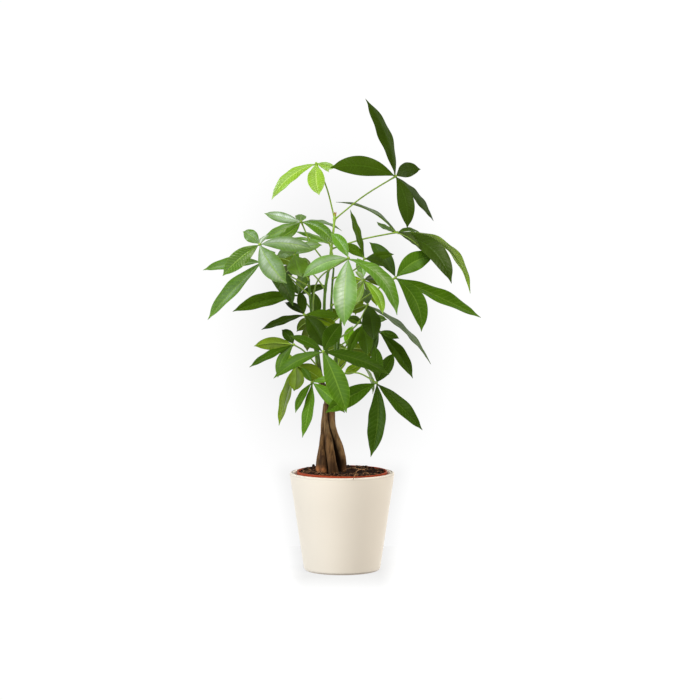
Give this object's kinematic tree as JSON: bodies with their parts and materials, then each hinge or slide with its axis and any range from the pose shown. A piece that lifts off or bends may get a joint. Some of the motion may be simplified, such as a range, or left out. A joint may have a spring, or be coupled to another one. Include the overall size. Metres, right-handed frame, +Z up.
{
  "type": "potted money tree",
  "caption": "Potted house plant: short trunks twisted together, green stems with hand-shaped leaves on long stalks, standing in soil in a plastic nursery pot inside a tapered glazed pot.",
  "frame": {"origin": "centre of the flat foot of the outer pot, on the surface that it stands on", "axes": "+Z up along the pot's axis and the plant's height; the pictured side faces -Y"},
  "size_m": [0.3668, 0.2551, 0.6283],
  "materials": {
    "glazed_pot": "smooth cream glaze, satin gloss",
    "nursery_plastic": "thin terracotta-coloured moulded plastic",
    "soil": "dark crumbly potting soil with pale fibres",
    "bark": "dry brown bark with fine lengthwise grooves",
    "green_stem": "smooth green stem, satin",
    "old_leaf": "dark green leathery leaf, soft sheen",
    "mature_leaf": "mid green leathery leaf, soft sheen",
    "young_leaf": "fresh yellow-green leaf, soft sheen"
  },
  "bodies": {
    "root": {"outer_pot": "glazed_pot", "nursery_pot": "nursery_plastic", "soil": "soil", "trunk_strand_1": "bark", "trunk_strand_2": "bark", "trunk_strand_3": "bark", "trunk_strand_4": "bark", "trunk_strand_5": "bark", "stem_leader": "green_stem", "stem_right": "green_stem", "stem_left": "green_stem", "stem_back": "green_stem", "stem_short": "green_stem", "leaf_top_right": "old_leaf", "leaf_top_left": "young_leaf", "leaf_left_front": "mature_leaf", "leaf_upper_left": "mature_leaf", "leaf_far_left": "mature_leaf", "leaf_upper_thin": "mature_leaf", "leaf_left_inner": "old_leaf", "leaf_left_low": "old_leaf", "leaf_centre_front": "young_leaf", "leaf_centre_dark": "old_leaf", "leaf_right": "mature_leaf", "leaf_upper_right": "old_leaf", "leaf_centre_young": "young_leaf", "leaf_centre_right": "old_leaf", "leaf_low_front": "mature_leaf", "leaf_mid_left": "old_leaf", "leaf_mid_left_small": "mature_leaf", "leaf_low_left": "mature_leaf", "leaf_low_left_pale": "mature_leaf", "leaf_low_right": "mature_leaf", "leaf_right_inner": "old_leaf", "leaf_centre_low": "old_leaf", "leaf_low_inner": "young_leaf", "leaf_back_left": "old_leaf", "leaf_back_right": "mature_leaf", "leaf_back_high": "mature_leaf", "leaf_back_low": "mature_leaf"}
  },
  "joints": []
}
